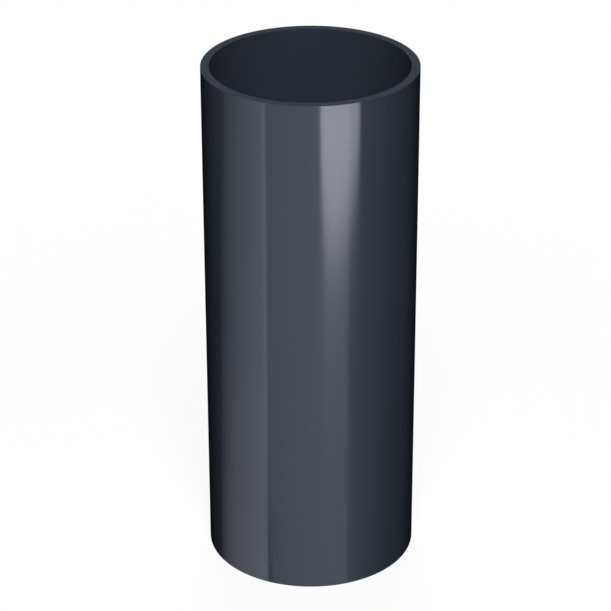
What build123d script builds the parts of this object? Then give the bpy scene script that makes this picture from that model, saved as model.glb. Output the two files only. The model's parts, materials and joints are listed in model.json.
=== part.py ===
"""A short straight length of round plastic downpipe, standing upright on one cut end.

It is one extruded tube: a ring-shaped wall of even thickness, with both ends sawn square
and their sharp corners broken by the deburring tool. It has no socket, collar or rib.

Millimetres, +Z up along the pipe. The origin is the centre of the lower cut face.
"""

import os

from build123d import *

# What the extruder and its sizing sleeve set
outside_diameter = 80.0
wall = 3.2

# What the saw and the deburring tool set
length = 199.0
edge_break = 0.1


def wall_section():
    """The ring that leaves the die: the outside circle less the bore, centred on the axis."""
    outside_radius = outside_diameter / 2
    bore_radius = outside_radius - wall
    return Circle(outside_radius) - Circle(bore_radius)


def sawn_tube():
    """The ring drawn straight up to the cut length, with a square cut at each end."""
    return extrude(wall_section(), amount=length)


def cut_corners(tube):
    """The four circles where a cut face meets the outside or the bore, two at each end."""
    return tube.edges().filter_by(GeomType.CIRCLE)


def downpipe():
    """The tube with a small bevel at each of its four circular corners."""
    tube = sawn_tube()
    return chamfer(cut_corners(tube), edge_break)


def main():
    """Writes one file for each separate piece; a downpipe is a single piece."""
    os.makedirs("parts", exist_ok=True)
    export_step(downpipe(), "parts/downpipe.step")


main()
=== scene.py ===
import json
import math

import bmesh
import bpy
from mathutils import Matrix, Vector


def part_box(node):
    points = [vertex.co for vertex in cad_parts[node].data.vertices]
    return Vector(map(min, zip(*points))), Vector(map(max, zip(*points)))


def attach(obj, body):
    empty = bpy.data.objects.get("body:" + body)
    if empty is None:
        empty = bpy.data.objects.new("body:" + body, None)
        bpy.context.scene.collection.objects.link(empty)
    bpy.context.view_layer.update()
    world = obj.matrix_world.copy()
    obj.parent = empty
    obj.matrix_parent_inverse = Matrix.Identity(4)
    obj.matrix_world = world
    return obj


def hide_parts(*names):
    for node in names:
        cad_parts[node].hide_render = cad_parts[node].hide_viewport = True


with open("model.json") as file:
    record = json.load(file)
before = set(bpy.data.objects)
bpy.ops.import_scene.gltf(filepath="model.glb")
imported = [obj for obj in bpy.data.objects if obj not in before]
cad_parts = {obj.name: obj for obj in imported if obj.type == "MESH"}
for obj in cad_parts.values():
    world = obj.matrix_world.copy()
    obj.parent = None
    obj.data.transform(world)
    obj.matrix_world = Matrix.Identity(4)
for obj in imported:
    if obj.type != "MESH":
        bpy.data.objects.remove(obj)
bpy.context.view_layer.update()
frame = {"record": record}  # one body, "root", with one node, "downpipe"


# Shader maths

class Level:
    # a value that varies over a surface: an expression on it adds its Math nodes
    def __init__(self, sheet, socket):
        self.sheet = sheet
        self.socket = socket

    def __add__(self, other):
        return self.sheet.number("ADD", self, other)

    def __sub__(self, other):
        return self.sheet.number("SUBTRACT", self, other)

    def __rsub__(self, other):
        return self.sheet.number("SUBTRACT", other, self)

    def __mul__(self, other):
        return self.sheet.number("MULTIPLY", self, other)

    def __truediv__(self, other):
        return self.sheet.number("DIVIDE", self, other)

    def __rtruediv__(self, other):
        return self.sheet.number("DIVIDE", other, self)

    __radd__ = __add__
    __rmul__ = __mul__


class Sheet:
    # the node tree of one material, or of the world
    def __init__(self, owner):
        owner.use_nodes = True
        self.tree = owner.node_tree
        self.tree.nodes.clear()

    def add(self, kind, settings=None, inputs=None, output=0):
        # settings go in first, because they change which sockets a node has
        node = self.tree.nodes.new("ShaderNode" + kind)
        for name, value in (settings or {}).items():
            if name == "stops":
                self.setStops(node.color_ramp.elements, value)
            else:
                setattr(node, name, value)
        for name, value in (inputs or {}).items():
            if isinstance(value, Level):
                self.tree.links.new(value.socket, node.inputs[name])
            else:
                node.inputs[name].default_value = value
        return Level(self, node.outputs[output]) if node.outputs else node

    def setStops(self, elements, stops):
        # the ramp comes with two
        for number, (position, shade) in enumerate(stops):
            if number == len(elements):
                elements.new(position)
            elements[number].position = position
            elements[number].color = rgba((shade, shade, shade))

    def number(self, operation, *terms):
        return self.add("Math", {"operation": operation}, dict(enumerate(terms)))

    def ease(self, value, start, end, before=0.0, after=1.0):
        # turns smoothly from before to after while the value goes from start to end
        return self.add("MapRange", {"interpolation_type": "SMOOTHSTEP"}, {
            "Value": value,
            "From Min": start,
            "From Max": end,
            "To Min": before,
            "To Max": after,
        })

    def mixColour(self, amount, first, second):
        # 6, 7 and 2 are the node's colour sockets
        return self.add("Mix", {"data_type": "RGBA"}, {0: amount, 6: first, 7: second}, 2)

    def mixShader(self, amount, first, second):
        return self.add("MixShader", None, {0: amount, 1: first, 2: second})


def rgba(colour, shade=1.0):
    return (*(shade * part for part in colour), 1.0)


# The pipe

pipeLow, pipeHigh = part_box("downpipe")
boreMount = next(mount for mount in frame["record"]["mounts"] if mount["name"] == "bore")
plastic = frame["record"]["materials"][0]

pipe = {
    "outside": pipeHigh.x,  # radius
    "bore": boreMount["dims"]["r_mm"] / 1000,  # radius
    "length": pipeHigh.z - pipeLow.z,
    "steps": 360,  # round the pipe
    "corner": 0.0001,  # what the deburring tool takes off
    "cornerSteps": 3,
    "cornerTurn": 60,  # degrees between two faces that make it a corner
    "colour": plastic["base_color"],
    "ior": 1.53,
    "gloss": 0.11,  # roughness of the wall outside
    "boreGloss": 0.32,
    "cutGloss": 0.6,
    # A scale says how fast a pattern changes along X, Y and Z. Its shade is how far the colour
    # goes from darkest to palest, its gloss how far the roughness does, and its depth is in metres.
    "dieLines": {"scale": (900, 900, 4), "detail": 2.0, "depth": 0.0000016, "gloss": 0.04},
    "flow": {"scale": (140, 140, 9), "detail": 1.0, "shade": 0.10, "gloss": 0.03},  # streaks of the melt
    "peel": {"scale": (210, 210, 210), "detail": 1.0, "depth": 0.000003},  # a cooled skin is uneven
    "saw": {
        "centre": (-0.21, -0.13, 0.0),  # the blade's axis, which its marks are rings round
        "pitch": 0.0007,  # from ring to ring
        "grain": {"scale": (900, 900, 900), "detail": 2.0},
        "wander": 5.0,  # how far the grain moves a ring, where a pitch is 2 pi
        "ringShare": 0.5,  # how strong the rings are beside the grain
        "depth": 0.00001,
        "shade": 0.25,
        "gloss": 0.1,
    },
}


def makePlastic():
    material = bpy.data.materials.new("anthracitePlastic")
    sheet = Sheet(material)
    place = sheet.add("TexCoord", None, None, "Object")
    height = sheet.add("SeparateXYZ", None, {0: place}, "Z")
    flat = sheet.add("VectorMath", {"operation": "MULTIPLY"}, {0: place, 1: (1, 1, 0)})
    fromAxis = sheet.add("VectorMath", {"operation": "LENGTH"}, {0: flat}, "Value")

    middle = pipe["length"] / 2
    onCut = sheet.number("GREATER_THAN", sheet.number("ABSOLUTE", height - middle), middle - pipe["corner"])
    inBore = sheet.number("LESS_THAN", fromAxis, (pipe["outside"] + pipe["bore"]) / 2)

    def noise(pattern):
        stretched = sheet.add("Mapping", None, {"Vector": place, "Scale": pattern["scale"]})
        return sheet.add("TexNoise", None, {"Vector": stretched, "Scale": 1.0, "Detail": pattern["detail"]})

    def tinted(amount, pattern):
        halfShade = pattern["shade"] / 2
        return sheet.mixColour(
            amount, rgba(pipe["colour"], 1 - halfShade), rgba(pipe["colour"], 1 + halfShade))

    def unevenGloss(amount, pattern):
        # noise varies to both sides of 0.5
        return (amount - 0.5) * pattern["gloss"]

    dieLines = noise(pipe["dieLines"])
    flow = noise(pipe["flow"])
    peel = noise(pipe["peel"])

    # the saw's rings, broken up by the grain that it leaves
    saw = pipe["saw"]
    fromBlade = sheet.add("VectorMath", {"operation": "SUBTRACT"}, {0: flat, 1: saw["centre"]})
    reach = sheet.add("VectorMath", {"operation": "LENGTH"}, {0: fromBlade}, "Value")
    grain = noise(saw["grain"])
    rings = sheet.number("SINE", reach * (2 * math.pi / saw["pitch"]) + grain * saw["wander"])
    sawn = rings * saw["ringShare"] + grain

    colour = sheet.mixColour(onCut, tinted(flow, pipe["flow"]), tinted(sawn, saw))

    wallRough = pipe["gloss"] + inBore * (pipe["boreGloss"] - pipe["gloss"])
    wallRough = wallRough + unevenGloss(dieLines, pipe["dieLines"]) + unevenGloss(flow, pipe["flow"])
    cutRough = pipe["cutGloss"] + unevenGloss(sawn, saw)
    rough = wallRough + onCut * (cutRough - wallRough)

    wallRelief = dieLines * pipe["dieLines"]["depth"] + peel * pipe["peel"]["depth"]
    cutRelief = sawn * saw["depth"]
    relief = wallRelief + onCut * (cutRelief - wallRelief)
    bump = sheet.add("Bump", None, {"Strength": 1.0, "Distance": 1.0, "Height": relief})

    surface = sheet.add("BsdfPrincipled", None, {
        "Base Color": colour,
        "Roughness": rough,
        "Normal": bump,
        "IOR": pipe["ior"],
    })
    sheet.add("OutputMaterial", None, {"Surface": surface})
    return material


def newObject(name, shape, material):
    mesh = bpy.data.meshes.new(name)
    shape.to_mesh(mesh)
    shape.free()
    mesh.materials.append(material)
    made = bpy.data.objects.new(name, mesh)
    bpy.context.scene.collection.objects.link(made)
    return made


def makePipe():
    # two circles bridged into the ring of the die, drawn up to the sawn length
    shape = bmesh.new()
    for radius in (pipe["outside"], pipe["bore"]):
        bmesh.ops.create_circle(shape, segments=pipe["steps"], radius=radius)
    ring = bmesh.ops.bridge_loops(shape, edges=shape.edges[:])
    drawn = bmesh.ops.extrude_face_region(shape, geom=ring["faces"])
    upper = [item for item in drawn["geom"] if isinstance(item, bmesh.types.BMVert)]
    bmesh.ops.translate(shape, verts=upper, vec=(0, 0, pipe["length"]))
    bmesh.ops.recalc_face_normals(shape, faces=shape.faces[:])

    # the deburring tool takes off the corners between a cut end and a wall
    cornerTurn = math.radians(pipe["cornerTurn"])
    corners = [edge for edge in shape.edges if edge.calc_face_angle() > cornerTurn]
    bmesh.ops.bevel(
        shape, geom=corners, offset=pipe["corner"], offset_type="OFFSET",
        segments=pipe["cornerSteps"], profile=0.5, affect="EDGES", material=-1)
    for face in shape.faces:
        face.smooth = True
    made = newObject("plastic_pipe", shape, makePlastic())
    made.modifiers.new("flatEnds", "WEIGHTED_NORMAL")
    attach(made, "root")
    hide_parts("downpipe")
    return made


pipePiece = makePipe()
print("pipe made:", len(pipePiece.data.polygons), "faces")


# The floor, in one piece round the pipe and one inside it

floor = {
    "radius": 6.0,
    "seam": (pipe["outside"] + pipe["bore"]) / 2,  # radius at which the two meet, under the wall
    "steps": 96,
    "colour": (0.90, 0.90, 0.90),
    "bounce": (0.11, 0.11, 0.11),  # what the floor round the pipe throws back at it
    "litShare": 0.16,  # of the lit floor in what the camera sees near the pipe; the rest is plain white
    "litLevel": 0.85,  # how bright the lit floor is where no shadow falls
    "clearFrom": 0.06,  # how far out the lit share starts to fade, and where it has gone
    "clearTo": 0.45,
    "insideWhite": 0.04,  # share of plain white in the floor seen down the bore
}


def seenDirectly(sheet):
    # 1 on camera, glossy and transmission rays
    camera = sheet.add("LightPath", None, None, "Is Camera Ray")
    glossy = sheet.add("LightPath", None, None, "Is Glossy Ray")
    through = sheet.add("LightPath", None, None, "Is Transmission Ray")
    return sheet.number("MAXIMUM", sheet.number("MAXIMUM", camera, glossy), through)


def makeFloor():
    # plain white is mixed in, so that the pipe's shadow stays light
    material = bpy.data.materials.new("paleFloor")
    sheet = Sheet(material)
    place = sheet.add("TexCoord", None, None, "Object")
    away = sheet.add("VectorMath", {"operation": "LENGTH"}, {0: place}, "Value")
    share = sheet.ease(away, floor["clearFrom"], floor["clearTo"], floor["litShare"], 0.0)
    lit = sheet.add("BsdfDiffuse", None, {"Color": rgba(floor["colour"])})
    # a little over 1, so that the two together come to white
    whole = (1 - share * floor["litLevel"]) / (1 - share)
    white = sheet.add("VectorMath", {"operation": "SCALE"}, {0: (1, 1, 1), "Scale": whole})
    plainWhite = sheet.add("Emission", None, {"Color": white, "Strength": 1.0})
    bounce = sheet.add("BsdfDiffuse", None, {"Color": rgba(floor["bounce"])})
    shown = sheet.mixShader(share, plainWhite, lit)
    sheet.add("OutputMaterial", None, {"Surface": sheet.mixShader(seenDirectly(sheet), bounce, shown)})

    shape = bmesh.new()
    for radius in (floor["radius"], floor["seam"]):
        bmesh.ops.create_circle(shape, segments=floor["steps"], radius=radius)
    bmesh.ops.bridge_loops(shape, edges=shape.edges[:])
    bmesh.ops.recalc_face_normals(shape, faces=shape.faces[:])
    made = newObject("floor", shape, material)
    made.visible_glossy = False  # so that the lower half of each card shows in the wall


def makeFloorInside():
    # what shows at the bottom of the bore, with its real shade
    material = bpy.data.materials.new("floorInsidePipe")
    sheet = Sheet(material)
    lit = sheet.add("BsdfDiffuse", None, {"Color": rgba(floor["colour"])})
    plainWhite = sheet.add("Emission", None, {"Color": rgba((1, 1, 1)), "Strength": 1.0})
    shown = sheet.mixShader(floor["insideWhite"], lit, plainWhite)
    sheet.add("OutputMaterial", None, {"Surface": sheet.mixShader(seenDirectly(sheet), lit, shown)})

    shape = bmesh.new()
    bmesh.ops.create_circle(shape, cap_ends=True, segments=floor["steps"], radius=floor["seam"])
    newObject("floorInside", shape, material)


makeFloor()
makeFloorInside()
print("floor made")


# Diffuse light: a dim sky and four soft lamps

sky = {"strength": 0.012}

lampsFace = (0, 0, 0.1)  # the pipe's middle

lamps = {
    # sides in metres, power in watts
    "keyLamp": {"at": (0.04, -1.05, 1.45), "sides": (0.55, 0.7), "power": 27},
    "frontLamp": {"at": (0.02, -0.8, 0.1), "sides": (0.3, 0.16), "power": 2.21},
    "backLamp": {"at": (0, 1.7, 0.3), "sides": (0.5, 0.4), "power": 15},
    "boreLamp": {"at": (0, 0.85, 1.6), "sides": (0.8, 0.6), "power": 6},  # for the bore seen from behind
}


def makeWorld():
    world = bpy.data.worlds.new("studio")
    bpy.context.scene.world = world
    sheet = Sheet(world)
    dim = sheet.add("Background", None, {"Color": rgba((1, 1, 1)), "Strength": sky["strength"]})
    white = sheet.add("Background", None, {"Color": rgba((1, 1, 1)), "Strength": 1.0})
    sheet.add("OutputWorld", None, {"Surface": sheet.mixShader(seenDirectly(sheet), dim, white)})


def makeLamp(name, lamp):
    light = bpy.data.lights.new(name, "AREA")
    light.shape = "RECTANGLE"
    light.size, light.size_y = lamp["sides"]
    light.energy = lamp["power"]
    made = bpy.data.objects.new(name, light)
    made.location = lamp["at"]
    made.rotation_euler = (Vector(lampsFace) - made.location).to_track_quat("-Z", "Y").to_euler()
    made.visible_camera = False
    made.visible_glossy = False  # the cards do that part
    bpy.context.scene.collection.objects.link(made)


makeWorld()
for lampName, lampFacts in lamps.items():
    makeLamp(lampName, lampFacts)
print("lamps made")


# Cards, which stand in a ring round the pipe and show only in its gloss, one over another as
# light adds up. From every point of the wall a height on a far card is at the same angle. Where a
# near card shows depends on the point's own height too.

cardRing = {
    "steps": 48,
    "mostDrop": 0.55,  # metres down over which a lean goes on
}

plainCard = {
    "behind": False,  # behind the pipe, and measured from straight behind it
    "left": -180, "right": 180,  # azimuths in degrees, 0 on the camera's side and 90 on the right
    "margin": 0,  # degrees of card past its left side, for a lean to run out into
    "lowest": -84, "highest": 69,  # degrees above level
    "distance": 1.5,
    "strength": 0.0,  # one with none is black, and hides what is behind it
    "colour": (0.965, 0.99, 1.125),
    # Heights from here on are in metres, on the card.
    "lean": None,  # what each metre below a height brings: degrees to the left, and brightening
    "change": None,  # shares of the strength below one height and above another
    "fade": None,  # a curved lower end, whose height is lowest at one azimuth
}

# Shades go from a card's left side to its right one: a share of the way and a share of the strength.
softboxSides = {
    "left": 8.8, "right": 52.7, "distance": 30,
    "shades": ((0.0, 0.0), (0.065, 1.0), (0.5, 1.0), (0.75, 0.935), (0.93, 0.89), (1.0, 0.66)),
}

cards = {
    "leftCard": {
        **plainCard,
        "left": -107.2, "right": -47.6, "margin": 14, "strength": 1.2,
        "lean": {"below": -0.41, "left": 33, "right": 2.6, "brightening": 0.55},
        "change": {"from": -0.35, "to": -0.05, "below": 1.0, "above": 0.6},
        "shades": (
            (0.0, 0.0), (0.14, 0.135), (0.25, 0.24), (0.43, 0.41), (0.62, 0.575), (0.76, 0.695),
            (0.905, 0.815), (0.995, 0.825), (1.0, 0.0)),
    },
    "middleCard": {
        **plainCard,
        "left": -51.9, "right": 40.4, "distance": 1.45, "strength": 0.94,
        "lean": {"below": -0.74, "left": -37, "right": 0, "brightening": 0.1},
        "change": {"from": -0.35, "to": -0.05, "below": 1.0, "above": 0.6},
        "colour": (0.953, 0.987, 1.127),
        "shades": (
            (0.0, 0.0), (0.02, 0.62), (0.235, 0.70), (0.44, 0.78), (0.6, 0.88), (0.75, 0.91),
            (0.9, 0.88), (1.0, 0.80)),
    },
    "softbox": {
        **plainCard,
        **softboxSides,
        "lowest": -40, "highest": -21.3, "strength": 5.0,
        "change": {"from": -12.7, "to": -11.8, "below": 1.0, "above": 1.6},
        "fade": {
            "height": -14.1, "width": 0.95,
            "lowest": 21.5, "power": 2.5, "leftRise": 0.003, "rightRise": 0.00027,
        },
        "colour": (0.985, 0.99, 1.062),
    },
    "softboxAbove": {
        **plainCard,
        **softboxSides,
        "lowest": -21.3, "highest": 20, "strength": 0.9,
    },
    "edgeGlow": {
        **plainCard,
        "left": 40.4, "right": 88.0, "distance": 1.55, "strength": 0.22,
        "lean": {"below": -0.65, "left": 0, "right": 0, "brightening": 1.6},
        "shades": ((0.0, 1.0), (0.5, 0.4), (1.0, 0.0)),
    },
    "backCard": {
        **plainCard,
        "behind": True,
        "left": -92, "right": 92, "lowest": -20.5, "highest": 8, "distance": 30, "strength": 0.7,
        "change": {"from": -10.8, "to": -9.4, "below": 0.0, "above": 1.0},
        "shades": ((0.0, 0.0), (0.15, 0.75), (0.5, 1.0), (0.85, 0.75), (1.0, 0.0)),
    },
    "backSoftbox": {
        **plainCard,
        "behind": True,
        "left": 12, "right": 48, "lowest": -20.5, "highest": 8, "distance": 30, "strength": 0.6,
        "change": {"from": -10.8, "to": -9.4, "below": 0.0, "above": 1.0},
        "shades": ((0.0, 0.0), (0.05, 1.0), (0.95, 1.0), (1.0, 0.0)),
    },
    "darkCard": {
        **plainCard,
        "distance": 33,
    },
}


def fadeHeight(sheet, azimuth, fade):
    # rises to both sides of the azimuth where it is lowest
    height = fade["height"]
    for aside, rise in (
            (fade["lowest"] - azimuth, fade["leftRise"]),
            (azimuth - fade["lowest"], fade["rightRise"])):
        height = height + sheet.number("POWER", sheet.number("MAXIMUM", aside, 0.0), fade["power"]) * rise
    return height


def cardGlow(sheet, card):
    place = sheet.add("TexCoord", None, None, "Object")
    alongX, alongY, height = (sheet.add("SeparateXYZ", None, {0: place}, axis) for axis in "XYZ")
    side = -1 if card["behind"] else 1
    azimuth = sheet.number("ARCTAN2", alongX * side, alongY * -side) * math.degrees(1)

    left, right, glow = card["left"], card["right"], card["strength"]
    lean, change, fade = card["lean"], card["change"], card["fade"]
    if lean:
        below = lean["below"] - height
        drop = sheet.add("Clamp", None, {"Value": below, "Min": 0.0, "Max": cardRing["mostDrop"]})
        left = left - drop * lean["left"]
        right = right - drop * lean["right"]
        glow = glow * (1 + drop * lean["brightening"])
    share = (azimuth - left) / (right - left)
    glow = glow * sheet.add("ValToRGB", {"stops": card["shades"]}, {0: share})
    if change:
        glow = glow * sheet.ease(height, change["from"], change["to"], change["below"], change["above"])
    if fade:
        middle = fadeHeight(sheet, azimuth, fade)
        glow = glow * sheet.ease(height, middle - fade["width"] / 2, middle + fade["width"] / 2)
    return glow


def makeCard(name, card):
    material = bpy.data.materials.new(name)
    sheet = Sheet(material)
    if card["strength"] > 0:
        glow = cardGlow(sheet, card)
        light = sheet.add("VectorMath", {"operation": "SCALE"}, {0: card["colour"], "Scale": glow})
        shine = sheet.add("Emission", None, {"Color": light, "Strength": 1.0})
        surface = sheet.add("AddShader", None, {0: shine, 1: sheet.add("BsdfTransparent")})
    else:
        surface = sheet.add("Emission", None, {"Color": rgba((0, 0, 0))})
    sheet.add("OutputMaterial", None, {"Surface": surface})
    material.cycles.emission_sampling = "NONE"

    # an upright edge swept round the pipe
    start = math.radians(card["left"] - card["margin"] + (90 if card["behind"] else -90))
    sweep = card["right"] - card["left"] + card["margin"]
    shape = bmesh.new()
    ends = []
    for end in ("lowest", "highest"):
        way = (math.cos(start), math.sin(start), math.tan(math.radians(card[end])))
        ends.append(shape.verts.new([card["distance"] * part for part in way]))
    edge = shape.edges.new(ends)
    bmesh.ops.spin(
        shape, geom=[*ends, edge], axis=(0, 0, 1), cent=(0, 0, 0), steps=cardRing["steps"],
        angle=math.radians(sweep), use_merge=sweep == 360)
    made = newObject(name, shape, material)
    made.visible_camera = False
    made.visible_diffuse = False
    made.visible_transmission = False
    made.visible_shadow = False


for cardName, cardFacts in cards.items():
    makeCard(cardName, cardFacts)
print("cards made")


# The camera, fitted to the rim, the sides and the lower edge in the photograph

view = {
    "at": (-0.00197, -0.8459, 0.5299),
    "down": 26.889,  # degrees below level
    "roll": -0.146,
    "lens": 146.9,
    "sensor": 36.0,
}


def makeCamera():
    data = bpy.data.cameras.new("camera")
    data.sensor_width = view["sensor"]
    data.lens = view["lens"]
    made = bpy.data.objects.new("camera", data)
    tilt = Matrix.Rotation(math.radians(90 - view["down"]), 4, "X")
    roll = Matrix.Rotation(math.radians(view["roll"]), 4, "Z")
    made.matrix_world = Matrix.Translation(view["at"]) @ tilt @ roll
    bpy.context.scene.collection.objects.link(made)
    bpy.context.scene.camera = made


makeCamera()
bpy.context.scene.view_settings.view_transform = "Standard"
print("camera made")
